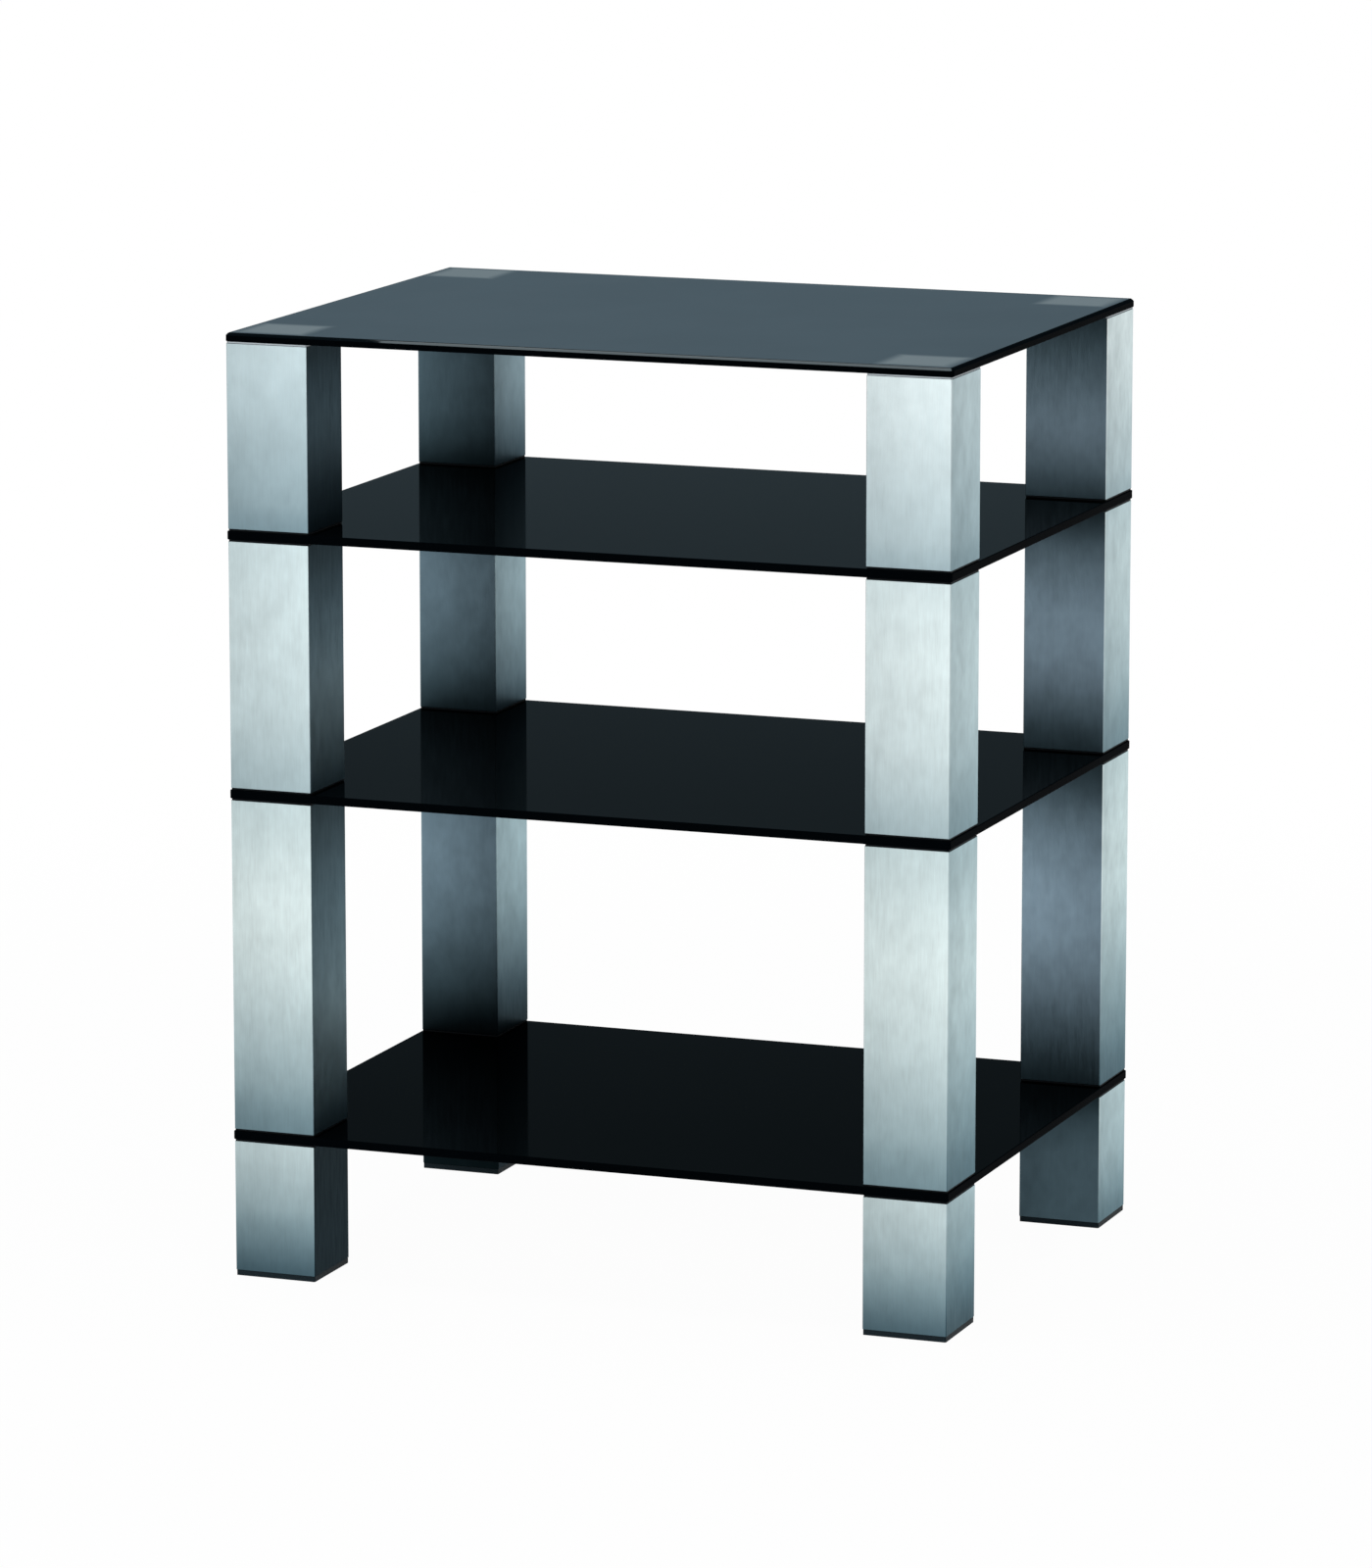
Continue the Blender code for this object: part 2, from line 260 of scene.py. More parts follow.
# A hair away from straight down, so that the lamp's sides have a set direction.
OVERHEAD_AIM = (0.0, -0.2001, 0.0)
OVERHEAD_SIZE = (2.5, 2.0)
OVERHEAD_RADIANCE = 4.9
FRONT_PLACE = (-1.6, -4.2, 1.5)
FRONT_AIM = (0.0, 0.0, 0.5)
FRONT_SIZE = (2.6, 1.8)
FRONT_RADIANCE = 3.0


def soft_box(name, place, aim, size, radiance):
    """A rectangular lamp at place, facing aim. Its power is pi x area x radiance, in watts."""
    data = bpy.data.lights.new(name, "AREA")
    data.shape = "RECTANGLE"
    data.size, data.size_y = size
    data.energy = math.pi * size[0] * size[1] * radiance
    lamp = bpy.data.objects.new(name, data)
    lamp.location = place
    lamp.rotation_mode = "QUATERNION"
    lamp.rotation_quaternion = (Vector(aim) - Vector(place)).to_track_quat("-Z", "Y")
    bpy.context.scene.collection.objects.link(lamp)
    print(name, round(data.energy, 1), "W")
    return lamp


soft_box("overhead_soft_box", OVERHEAD_PLACE, OVERHEAD_AIM, OVERHEAD_SIZE, OVERHEAD_RADIANCE)
front_lamp = soft_box("front_soft_box", FRONT_PLACE, FRONT_AIM, FRONT_SIZE, FRONT_RADIANCE)

# %% [markdown]
# ## Lines that turn
#
# A pencil line of straight runs and round turns describes every outline here: the wall of a tube seen
# end on, and the ground edge of a glass sheet. Walking along it like a turtle gives both its points,
# which are a running sum of steps, and its exact direction at each point, which gives the shading
# normal without any guesswork.

# %% Lines that turn
QUARTER_TURN = math.pi / 2
EIGHTH_TURN = math.pi / 4


def walk(start, heading, runs, turns, radius, steps):
    """Points and outward normals of a line of straight runs, with a round turn after each run.

    A turn of angle a on radius r is cut into equal chords of 2 r sin(a / 2 steps), each turned by one step
    from the last. The points are the running sum of runs and chords. The normal lies a quarter turn to the
    left of the heading, so a clockwise walk has its outside on the left.
    """
    runs, turns = np.asarray(runs, float), np.asarray(turns, float)
    step = turns / steps
    before = heading + np.concatenate([[0.0], np.cumsum(turns)[:-1]])
    chord_heading = before[:, None] + step[:, None] * (np.arange(steps) + 0.5)
    chord = 2 * np.broadcast_to(radius, turns.shape) * np.abs(np.sin(step / 2))
    headings = np.concatenate([before[:, None], chord_heading], axis=1).ravel()
    lengths = np.concatenate([runs[:, None], np.repeat(chord[:, None], steps, axis=1)], axis=1).ravel()
    tangents = (before[:, None] + step[:, None] * np.arange(steps + 1)).ravel()
    moved = lengths > 0
    moves = (lengths[:, None] * np.stack([np.cos(headings), np.sin(headings)], axis=1))[moved]
    points = np.asarray(start) + np.concatenate([np.zeros((1, 2)), np.cumsum(moves, axis=0)])
    tangents = np.concatenate([[heading], tangents[moved]])
    normals = np.stack([-np.sin(tangents), np.cos(tangents)], axis=1)
    return points, normals


sample_points, sample_normals = walk((0, 1), 0.0, [0.0], [-QUARTER_TURN], 1.0, 4)
print("a quarter turn ends at", sample_points[-1].round(3), "facing", sample_normals[-1].round(3))

# %% [markdown]
# ## From arrays to a piece
#
# Grids of points become quads by pairing each point with its neighbours. Several grids can make up one
# skin, so equal points are welded, which leaves a closed surface. The normals that came with the points
# go in as custom normals: flat faces then stay flat right up to their rounded edges.

# %% From arrays to a piece
WELD = 1e-7


def grid_quads(rows, columns, closed_rows=False, closed_columns=True):
    """Corner numbers of a grid's quads: (row, column), (row + 1, column), and the same one column on."""
    row = np.arange(rows if closed_rows else rows - 1)[:, None]
    column = np.arange(columns if closed_columns else columns - 1)[None, :]
    next_row, next_column = (row + 1) % rows, (column + 1) % columns
    corners = [(row, column), (next_row, column), (next_row, next_column), (row, next_column)]
    return np.stack([r * columns + c for r, c in corners], axis=-1).reshape(-1, 4)


def link_piece(name, points, normals, faces, zones, finishes, replaced):
    """Welds equal points, writes the mesh with its normals and finishes, and hands the piece to the frame.

    zones holds, for each face, the number of its finish in the list of finishes.
    """
    keys = np.round(points / WELD).astype(np.int64)
    _, first, welded = np.unique(keys, axis=0, return_index=True, return_inverse=True)
    mesh = bpy.data.meshes.new(name)
    mesh.from_pydata(points[first].tolist(), [], [welded.ravel()[face].tolist() for face in faces])
    for finish in finishes:
        mesh.materials.append(finish.made)
    mesh.polygons.foreach_set("material_index", np.asarray(zones, np.int32))
    mesh.shade_smooth()
    mesh.validate()
    mesh.normals_split_custom_set_from_vertices(normals[first].tolist())
    piece = bpy.data.objects.new(name, mesh)
    bpy.context.scene.collection.objects.link(piece)
    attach(piece, BODY)
    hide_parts(replaced)
    return piece


print("a 3 x 4 band has", len(grid_quads(3, 4)), "quads")

# %% [markdown]
# ## Brushed aluminium
#
# The tubes are anodised aluminium, a pale metal with a hint of green and blue. Their light and shade
# is painted into the colour: a deeper painted shade is also a cooler one, and a face that looks into
# the rack is cooler still, with the painted reflection of the black glass in front of it. Every colour
# could be picked by hand, but one rule keeps them in step: a colour is worked out from a single number,
# its tone. Green is the tone itself, and red and blue are powers of it, with a gain where the face is
# shaded.

# %% Colour of the metal and its painted shade
ALUMINIUM = {
    "foot": (0.785, 0.86, 0.84, 1.0),
    "lower": (0.78, 0.86, 0.84, 1.0),
    "middle": (0.80, 0.86, 0.84, 1.0),
    "upper": (0.82, 0.86, 0.84, 1.0),
}
OPEN_RED_DEPTH, OPEN_BLUE_DEPTH = 1.25, 0.885
SHADED_RED, SHADED_RED_DEPTH = 0.88, 1.11
SIDE_BLUE, SIDE_BLUE_DEPTH = 1.05, 0.93
FRONT_BLUE, FRONT_BLUE_DEPTH = 1.24, 1.0


def open_tone(tone):
    """Painted shade on metal that faces the room: red and blue are the tone to a power each."""
    return tone**OPEN_RED_DEPTH, tone, tone**OPEN_BLUE_DEPTH, 1.0


def shaded_side_tone(tone):
    """Painted shade on metal that looks into the rack along its width: red and blue are a gain times a power
    of the tone.
    """
    return SHADED_RED * tone**SHADED_RED_DEPTH, tone, SIDE_BLUE * tone**SIDE_BLUE_DEPTH, 1.0


def shaded_front_tone(tone):
    """The same for metal that looks into the rack along its depth, which is the bluest of all."""
    return SHADED_RED * tone**SHADED_RED_DEPTH, tone, FRONT_BLUE * tone**FRONT_BLUE_DEPTH, 1.0


for shown in (open_tone, shaded_side_tone, shaded_front_tone):
    print(shown.__name__, "of 0.5 is", [round(channel, 2) for channel in shown(0.5)])

# %% [markdown]
# Along each tube the tone rises and falls, as painted shade: an outer face is deepest near its lower
# end, and an inner one sinks towards the black glass at its ends. A colour ramp over the height of the
# tube does this with a few stops. Tubes of one tier, row or side share a ramp, and those that differ
# have one of their own under a longer name.

# %% Painted shade along a tube
# Each row holds stops of painted shade: (height from 0 at the tube's lower end to 1 at its upper end, tone).
OUTER_PAINTED_SHADE = {
    "foot": ((0.0, 0.12), (0.25, 0.30), (0.5, 0.46), (1.0, 0.77)),
    "lower": ((0.0, 0.28), (0.15, 0.46), (0.43, 0.78), (0.70, 0.91), (1.0, 0.70)),
    "middle": ((0.0, 0.47), (0.30, 0.74), (0.70, 0.83), (1.0, 0.75)),
    "upper": ((0.0, 0.43), (0.14, 0.53), (0.56, 0.67), (1.0, 0.75)),
    "foot_back_right": ((0.0, 0.28), (0.25, 0.53), (0.5, 0.67), (1.0, 0.80)),
    "lower_back_right": ((0.0, 0.22), (0.15, 0.42), (0.43, 0.80), (0.70, 0.97), (1.0, 0.86)),
    "middle_back_right": ((0.0, 0.38), (0.30, 0.72), (0.70, 0.87), (1.0, 0.80)),
}
INNER_SIDE_PAINTED_SHADE = {
    "front": ((0.0, 0.16), (0.08, 0.28), (0.25, 0.42), (0.50, 0.22), (0.75, 0.08), (1.0, 0.0)),
    "lower_front": ((0.0, 0.08), (0.08, 0.24), (0.22, 0.45), (0.50, 0.165), (0.75, 0.125), (1.0, 0.0)),
    "upper_front": ((0.0, 0.04), (0.10, 0.14), (0.36, 0.39), (0.63, 0.30), (0.85, 0.10), (1.0, 0.0)),
    "back": ((0.0, 0.04), (0.12, 0.16), (0.34, 0.38), (0.60, 0.52), (1.0, 0.36)),
    "lower_back": ((0.0, 0.0), (0.10, 0.035), (0.22, 0.14), (0.41, 0.37), (0.65, 0.57), (1.0, 0.36)),
    "upper_back": ((0.0, 0.08), (0.15, 0.25), (0.33, 0.49), (0.55, 0.70), (1.0, 0.55)),
}
INNER_FRONT_PAINTED_SHADE = {
    "left": ((0.0, 0.02), (0.15, 0.07), (0.35, 0.13), (0.60, 0.17), (0.85, 0.07), (1.0, 0.0)),
    "lower_left": ((0.0, 0.0), (0.15, 0.035), (0.35, 0.12), (0.60, 0.21), (0.85, 0.09), (1.0, 0.0)),
    "upper_left": ((0.0, 0.02), (0.15, 0.07), (0.35, 0.11), (0.60, 0.13), (0.85, 0.07), (1.0, 0.0)),
    "right": ((0.0, 0.045), (0.15, 0.14), (0.35, 0.36), (0.60, 0.32), (0.85, 0.105), (1.0, 0.01)),
    "lower_right": ((0.0, 0.03), (0.15, 0.12), (0.35, 0.31), (0.60, 0.36), (0.85, 0.12), (1.0, 0.02)),
    "upper_right": ((0.0, 0.08), (0.15, 0.22), (0.37, 0.41), (0.58, 0.27), (0.80, 0.14), (1.0, 0.05)),
    "foot": ((0.0, 0.26), (0.25, 0.28), (0.55, 0.32), (0.82, 0.20), (1.0, 0.05)),
}


def first_of(table, *names):
    """The row under the first of these names that the table has. The most exact name comes first."""
    return next(table[name] for name in names if name in table)


def painted_shade_ramp(finish, height, stops, colour, gain, power=1.0):
    """A colour of painted shade for each height, from stops of (height, tone). A tone t becomes gain x
    t^power, at most 1.
    """
    ramp = finish.node("ValToRGB", height)
    ramp.color_ramp.interpolation = "B_SPLINE"
    elements = ramp.color_ramp.elements
    while len(elements) < len(stops):
        elements.new(0.5)
    for element, (position, tone) in zip(elements, stops):
        element.position = position
        element.color = colour(min(gain * tone**power, 1.0))
    return ramp.outputs[0]


print("an upper tube starts at tone", first_of(OUTER_PAINTED_SHADE, "upper_front_left", "upper")[0][1])

# %% [markdown]
# A face that looks into the rack gives itself away: its normal points against its own position,
# measured from the middle of the rack, so the dot product of the two is negative. The normal's share
# along X tells the sides of a tube from its front and back. These two masks choose between the ramps.

# %% Which way a face looks
INWARD_SOFTNESS = 0.1
SIDEWAYS_START, SIDEWAYS_FULL = 0.4, 0.6
# The power that deepens the outer sides of a tube, against its outer front and back: painted shade.
SIDE_SHADE_POWER = {"foot": 1.46, "lower": 1.52, "middle": 1.45, "upper": 1.15}
# Gain of the painted shade on the inner faces of a whole tier.
INNER_SHADE_GAINS = {"foot": 0.30, "lower": 1.25, "middle": 1.0, "upper": 0.55}
# Gain and power of one tube's outer painted shade, and gain of its inner painted shade.
TUBE_SHADE_GAINS = {
    "plain": (1.0, 1.0, 1.0),
    "upper_front_left": (0.88, 1.4, 0.5),
    "middle_front_left": (0.83, 0.70, 1.0),
    "lower_front_left": (1.02, 1.16, 1.0),
    "foot_front_left": (0.98, 1.1, 0.05),
    "foot_back_left": (1.0, 1.0, 0.10),
    "upper_back_right": (1.25, 0.92, 1.15),
    "foot_back_right": (1.0, 1.0, 1.1),
}


def post_node(tier, corner):
    """The name of a tube's CAD node."""
    return f"{tier}_post_{corner}"


def tube_face(finish, tier, corner):
    """Where a point lies on its tube and which way its face looks, with each mask running from 0 to 1."""
    low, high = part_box(post_node(tier, corner))
    place = finish.place()
    normal = finish.node("TexCoord").outputs["Normal"]
    outwards = finish.vector("DOT_PRODUCT", place, normal, "Value")
    along_x = finish.math("ABSOLUTE", finish.node("SeparateXYZ", normal).outputs[0])
    return SimpleNamespace(
        half=(high.x - low.x) / 2,
        normal=normal,
        local=finish.vector("SUBTRACT", place, (low + high) / 2),
        height=finish.ranged(finish.node("SeparateXYZ", place).outputs[2], low.z, high.z, smooth=False),
        inward=finish.ranged(outwards, -INWARD_SOFTNESS, INWARD_SOFTNESS, 1.0, 0.0),
        sideways=finish.ranged(along_x, SIDEWAYS_START, SIDEWAYS_FULL),
    )


def tube_colour_and_painted_shade(finish, tier, corner, face):
    """The metal's colour times its painted shade: ramps for outer faces, inner fronts and inner sides,
    chosen by the masks.
    """
    row, side = corner.split("_")
    outer_gain, outer_power, inner_gain = first_of(TUBE_SHADE_GAINS, f"{tier}_{corner}", "plain")
    outer_stops = first_of(OUTER_PAINTED_SHADE, f"{tier}_{corner}", tier)
    side_stops = first_of(INNER_SIDE_PAINTED_SHADE, f"{tier}_{row}", row)
    front_stops = first_of(INNER_FRONT_PAINTED_SHADE, f"{tier}_{side}", tier, side)
    side_gain = inner_gain * INNER_SHADE_GAINS[tier]
    front_gain = side_gain if row == "back" else INNER_SHADE_GAINS[tier]
    outer = painted_shade_ramp(finish, face.height, outer_stops, open_tone, outer_gain, outer_power)
    depth = finish.ranged(face.sideways, 0.0, 1.0, 1.0, SIDE_SHADE_POWER[tier])
    outer = finish.node("Gamma", outer, depth).outputs[0]
    inner_front = painted_shade_ramp(finish, face.height, front_stops, shaded_front_tone, front_gain)
    inner_side = painted_shade_ramp(finish, face.height, side_stops, shaded_side_tone, side_gain)
    inner = finish.mixed(face.sideways, inner_front, inner_side)
    return finish.mixed(1.0, ALUMINIUM[tier], finish.mixed(face.inward, outer, inner), "MULTIPLY")


print(len(TUBE_SHADE_GAINS) - 1, "tubes have gains of their own")

# %% [markdown]
# The tubes are brushed along their length, which leaves fine scratches that run up and down. A noise
# that is squeezed across the tube and stretched along it gives the same streaks, and it drives three
# things: a small change of tone, of roughness, and of height. Larger flecks keep the metal from looking
# printed. A slow drift of tone across each face is painted light and shade, and the ridges are a little
# brighter with a painted highlight, where hands and cloths also polish them.

# %% Brushing
FINE_SCRATCHES = (900.0, 900.0, 60.0)
BROAD_STREAKS = (300.0, 300.0, 26.0)
FINE_SHARE = 0.5
FLECKS = (48.0, 48.0, 30.0)
FLECK_ROUGHNESS = 0.75
OPEN_FLECKS, SHADED_FLECKS = 0.30, 0.52
# Nearly all of a noise lies between these two values.
NOISE_LOW, NOISE_HIGH = 0.3, 0.7
NOISE_MEAN = 0.5
GRAIN_DARK, GRAIN_BRIGHT = 0.92, 1.08
# Distances from the outside of the tube, in metres.
RIDGE_START, RIDGE_FULL = 0.0022, 0.0004
# A painted highlight along the ridges, which are also polished there.
RIDGE_HIGHLIGHT = 0.08
UP = (0.0, 0.0, 1.0)
# Painted light and shade: the change of tone from the middle of a face to its right edge.
# Inner faces have one for fronts and one for sides.
OUTER_LIGHT_DRIFT = 0.11
INNER_LIGHT_DRIFTS = {
    "front_left": (0.0, 0.03),
    "upper_front_left": (0.0, -0.12),
    "lower_front_left": (0.0, 0.10),
    "front_right": (0.0, 0.0),
    "back_left": (-0.22, 0.14),
    "middle_back_left": (-0.28, 0.22),
    "upper_back_left": (-0.42, 0.32),
    "back_right": (0.03, 0.0),
    "lower_back_right": (-0.10, 0.0),
    "foot_back_right": (0.16, 0.0),
}


def tube_shade(finish, tier, corner, face, grain):
    """A factor near 1: the grain, plus the painted highlight on the ridges, the painted light drifting
    across a face, and the flecks.
    """
    shade = finish.ranged(grain, NOISE_LOW, NOISE_HIGH, GRAIN_DARK, GRAIN_BRIGHT, smooth=False)
    across, along, _ = finish.node("SeparateXYZ", face.local).outputs
    ridge = finish.math("MINIMUM", finish.math("ABSOLUTE", across), finish.math("ABSOLUTE", along))
    ridge = finish.ranged(ridge, face.half - RIDGE_START, face.half - RIDGE_FULL)
    shade = finish.math("MULTIPLY_ADD", ridge, RIDGE_HIGHLIGHT, shade)

    rightward = finish.vector("CROSS_PRODUCT", UP, face.normal)
    lateral = finish.vector("DOT_PRODUCT", rightward, face.local, "Value")
    front_drift, side_drift = first_of(INNER_LIGHT_DRIFTS, f"{tier}_{corner}", corner)
    inner_slope = finish.ranged(face.sideways, 0.0, 1.0, front_drift / face.half, side_drift / face.half)
    slope = finish.ranged(face.inward, 0.0, 1.0, OUTER_LIGHT_DRIFT / face.half, inner_slope)
    shade = finish.math("MULTIPLY_ADD", lateral, slope, shade)

    flecks = finish.noise(FLECKS, roughness=FLECK_ROUGHNESS)
    shaded = finish.math("MAXIMUM", face.inward, face.sideways)
    depth = finish.ranged(shaded, 0.0, 1.0, OPEN_FLECKS, SHADED_FLECKS)
    return finish.math("MULTIPLY_ADD", finish.math("SUBTRACT", flecks, NOISE_MEAN), depth, shade)


print("scratches are", FINE_SCRATCHES[0] / FINE_SCRATCHES[2], "times as long as they are wide")

# %% [markdown]
# The finish of a tube puts these together. Metal that faces black glass also gets a darker edge tint:
# painted shade on the pale rim that metal shows at a low angle.

# %% Aluminium for every tube
EDGE_TINT = (0.80, 0.95, 1.0, 1.0)
# Painted shade on the edge tint of faces that look into the rack.
SHADED_EDGE_TINT = (0.62, 0.70, 0.74, 1.0)
ALUMINIUM_ROUGHNESS = 0.42
ROUGHNESS_SPREAD = 0.06
ANISOTROPY = 0.35
SCRATCH_BUMP = 0.25
SCRATCH_DEPTH = 0.0001


def brushed_aluminium(tier, corner):
    """One tube's metal: its painted shade by height and facing, times its brushing, painted ridge highlight
    and painted drift.
    """
    finish = Finish.material(f"brushed_aluminium_{tier}_{corner}", Metallic=1.0, Anisotropic=ANISOTROPY)
    face = tube_face(finish, tier, corner)
    fine = finish.noise(FINE_SCRATCHES)
    streaks = finish.math("MULTIPLY", finish.noise(BROAD_STREAKS), 1 - FINE_SHARE)
    grain = finish.math("MULTIPLY_ADD", fine, FINE_SHARE, streaks)
    shade = tube_shade(finish, tier, corner, face, grain)
    grey = finish.node("CombineColor", shade, shade, shade).outputs[0]
    finish.set("Base Color", finish.mixed(1.0, tube_colour_and_painted_shade(finish, tier, corner, face), grey, "MULTIPLY"))
    finish.set("Specular Tint", finish.mixed(face.inward, EDGE_TINT, SHADED_EDGE_TINT))
    smoothest, roughest = ALUMINIUM_ROUGHNESS - ROUGHNESS_SPREAD, ALUMINIUM_ROUGHNESS + ROUGHNESS_SPREAD
    finish.set("Roughness", finish.ranged(grain, NOISE_LOW, NOISE_HIGH, smoothest, roughest))
    finish.bump(fine, SCRATCH_BUMP, SCRATCH_DEPTH)
    return finish


aluminium = {(tier, corner): brushed_aluminium(tier, corner) for tier in TIERS for corner in CORNERS}
print(len(aluminium), "aluminium finishes, such as", aluminium["foot", "front_left"].made.name)

# %% [markdown]
# ## Post tubes
#
# Each post is a stack of square tubes. A tube is the thin outline of its own wall, a tall rectangle
# with broken edges, carried once round a rounded square. At the corners the square's radius shrinks
# with the distance from the outside, and the wall's own edges are rounded too, so that every edge
# catches a line of light. A hollow box with a Bevel modifier would come close, but this way every
# radius and every normal is exact.

# %% Post tubes
TUBE_WALL = 0.002
TUBE_OUTER_RADIUS = 0.0012
TUBE_INNER_RADIUS = 0.0008
TUBE_EDGE_RADIUS = 0.0003
CORNER_STEPS = 6
EDGE_STEPS = 3
# The four quarters of a rectangle, anticlockwise.
QUARTERS = np.array([(1, 1), (-1, 1), (-1, -1), (1, -1)])


def rounded_square(half, radius):
    """Points of rounded squares and their outward directions, for arrays of half sides and radii.

    Each corner's centre lies half - radius out along both axes, and its arc is that centre plus radius times
    the direction (cos t, sin t) as t runs through the corner's quarter turn.
    """
    quarter = np.arange(4)[:, None] * QUARTER_TURN
    angle = (quarter + np.linspace(0, QUARTER_TURN, CORNER_STEPS + 1)).ravel()
    direction = np.stack([np.cos(angle), np.sin(angle)], axis=1)
    corner = np.repeat(QUARTERS, CORNER_STEPS + 1, axis=0)
    return corner * (half - radius)[:, None, None] + direction * radius[:, None, None], direction


def tube(tier, corner):
    """The wall outline (outward offset, height) carried round the tube's rounded square."""
    name = post_node(tier, corner)
    low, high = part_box(name)
    size = high - low
    flat_wall, flat_side = TUBE_WALL - 2 * TUBE_EDGE_RADIUS, size.z - 2 * TUBE_EDGE_RADIUS
    wall, wall_normals = walk(
        (TUBE_EDGE_RADIUS - TUBE_WALL, high.z), 0.0,
        [flat_wall, flat_side, flat_wall, flat_side], [-QUARTER_TURN] * 4, TUBE_EDGE_RADIUS, EDGE_STEPS,
    )
    # The walk ends where it began, so its last point is dropped.
    wall, wall_normals = wall[:-1], wall_normals[:-1]
    radius = np.interp(-wall[:, 0], [0.0, TUBE_WALL], [TUBE_OUTER_RADIUS, TUBE_INNER_RADIUS])
    ring, direction = rounded_square(size.x / 2 + wall[:, 0], radius)
    rows, columns = ring.shape[:2]
    centre = np.array([(low.x + high.x) / 2, (low.y + high.y) / 2])
    points = np.concatenate([ring + centre, np.repeat(wall[:, None, 1:], columns, axis=1)], axis=2)
    normals = np.concatenate([
        wall_normals[:, None, :1] * direction,
        np.repeat(wall_normals[:, None, 1:], columns, axis=1),
    ], axis=2)
    faces = grid_quads(rows, columns, closed_rows=True)
    return link_piece(
        f"{name}_tube", points.reshape(-1, 3), normals.reshape(-1, 3), faces, np.zeros(len(faces)),
        [aluminium[tier, corner]], name,
    )


tubes = [tube(tier, corner) for tier in TIERS for corner in CORNERS]
print(len(tubes), "tubes of", len(tubes[0].data.polygons), "faces each")

# %% [markdown]
# ## Black glass
#
# The shelves are dark, tinted glass. Light that gets in hardly comes out again, so what shows is a
# faint slate tint and a mirror image. Clear glass that absorbs light could do this, but a dark base
# colour with a smooth gloss gives the same picture with less noise. At a low angle plain glass would
# turn as white as the room, but these shelves stay black, so the mirror image is kept weak there and
# grows as the eye climbs. The undersides keep it weak at every angle, because they would mirror the
# white floor. Wiped glass is never quite clean, so a slow noise makes it a little hazier in places.
#
# Under each corner of the top sheet a metal plate is bonded to the glass, and shows through as a paler
# square.

# %% Faces of the glass
TOP_TINT = (0.045, 0.065, 0.080, 1.0)
# The lower sheets' tint is far darker than the top's: painted shade under the sheets above.
SHADED_SHELF_TINT = (0.0005, 0.0009, 0.0011, 1.0)
PLATE_TINT = (0.144, 0.175, 0.188, 1.0)
PLATE_SOFT_EDGE = 0.016
GLASS_IOR = 1.5
LOW_SHEEN, STEEP_SHEEN = 0.0017, 0.30
# Layer Weight's facing value is 0 seen straight on and 1 seen along the surface.
STEEP_FACING, LOW_FACING = 0.60, 0.74
CLOUDS = (7.0, 7.0, 7.0)
CLOUD_DETAIL = 3.0
CLOUD_SHADE = 0.94
WIPES = (45.0, 12.0, 20.0)
CLEAN_ROUGHNESS, HAZY_ROUGHNESS = 0.03, 0.07


def from_axis(finish, coordinate, axis):
    """Distance from a post's axis along one coordinate, alike for the posts on both sides of the rack."""
    return finish.math("ABSOLUTE", finish.math("SUBTRACT", finish.math("ABSOLUTE", coordinate), abs(axis)))


def plate_mask(finish):
    """1 over the middle of a bonded plate, falling to 0 at its square edge."""
    low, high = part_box("bonded_plate_front_right")
    axis, half = (low + high) / 2, (high - low) / 2
    x, y, _ = finish.node("SeparateXYZ", finish.place()).outputs
    reach = finish.math("MAXIMUM", from_axis(finish, x, axis.x), from_axis(finish, y, axis.y))
    return finish.ranged(reach, half.x - PLATE_SOFT_EDGE, half.x, 1.0, 0.0)


def black_glass_face(name, tint, steep_mirror=True, shows_plates=False):
    """The face of a sheet: slate tint, mirror image, wiped haze, and bonded plates that show through."""
    finish = Finish.material(name, Specular_IOR_Level=LOW_SHEEN, IOR=GLASS_IOR)
    if steep_mirror:
        facing = finish.node("LayerWeight").outputs["Facing"]
        sheen = finish.ranged(facing, STEEP_FACING, LOW_FACING, STEEP_SHEEN, LOW_SHEEN)
        finish.set("Specular IOR Level", sheen)
    cloud = finish.ranged(finish.noise(CLOUDS, detail=CLOUD_DETAIL), NOISE_LOW, NOISE_HIGH)
    colour = finish.mixed(cloud, tuple(CLOUD_SHADE * channel for channel in tint), tint)
    if shows_plates:
        colour = finish.mixed(plate_mask(finish), colour, PLATE_TINT)
    finish.set("Base Color", colour)
    wiped = finish.noise(WIPES)
    finish.set("Roughness", finish.ranged(wiped, NOISE_LOW, NOISE_HIGH, CLEAN_ROUGHNESS, HAZY_ROUGHNESS))
    return finish


glass_face = black_glass_face("black_glass_face", SHADED_SHELF_TINT)
top_glass_face = black_glass_face("black_glass_top", TOP_TINT, shows_plates=True)
glass_underside = black_glass_face("black_glass_underside", SHADED_SHELF_TINT, steep_mirror=False)
print("glass faces:", glass_face.made.name, top_glass_face.made.name, glass_underside.made.name)

# %% [markdown]
# The edges of the glass are ground, with fine marks that run along them, and almost black. The long
# edges of the top sheet have a polished facet as well, a sloping strip that catches the overhead lamp
# as a bright line.

# %% Edges of the glass
GRINDING_MARKS = (90.0, 90.0, 2600.0)
MARKS_LOW, MARKS_HIGH = 0.2, 0.8
EDGE_DEEP = (0.0008, 0.0016, 0.0024, 1.0)
EDGE_PALE = (0.0022, 0.0040, 0.0056, 1.0)
GROUND_SHEEN, FACET_SHEEN = 0.0008, 0.28
GROUND_ROUGHNESS = (0.20, 0.30)
FACET_ROUGHNESS = (0.01, 0.04)
FACET_TINT = (0.72, 0.92, 1.0, 1.0)


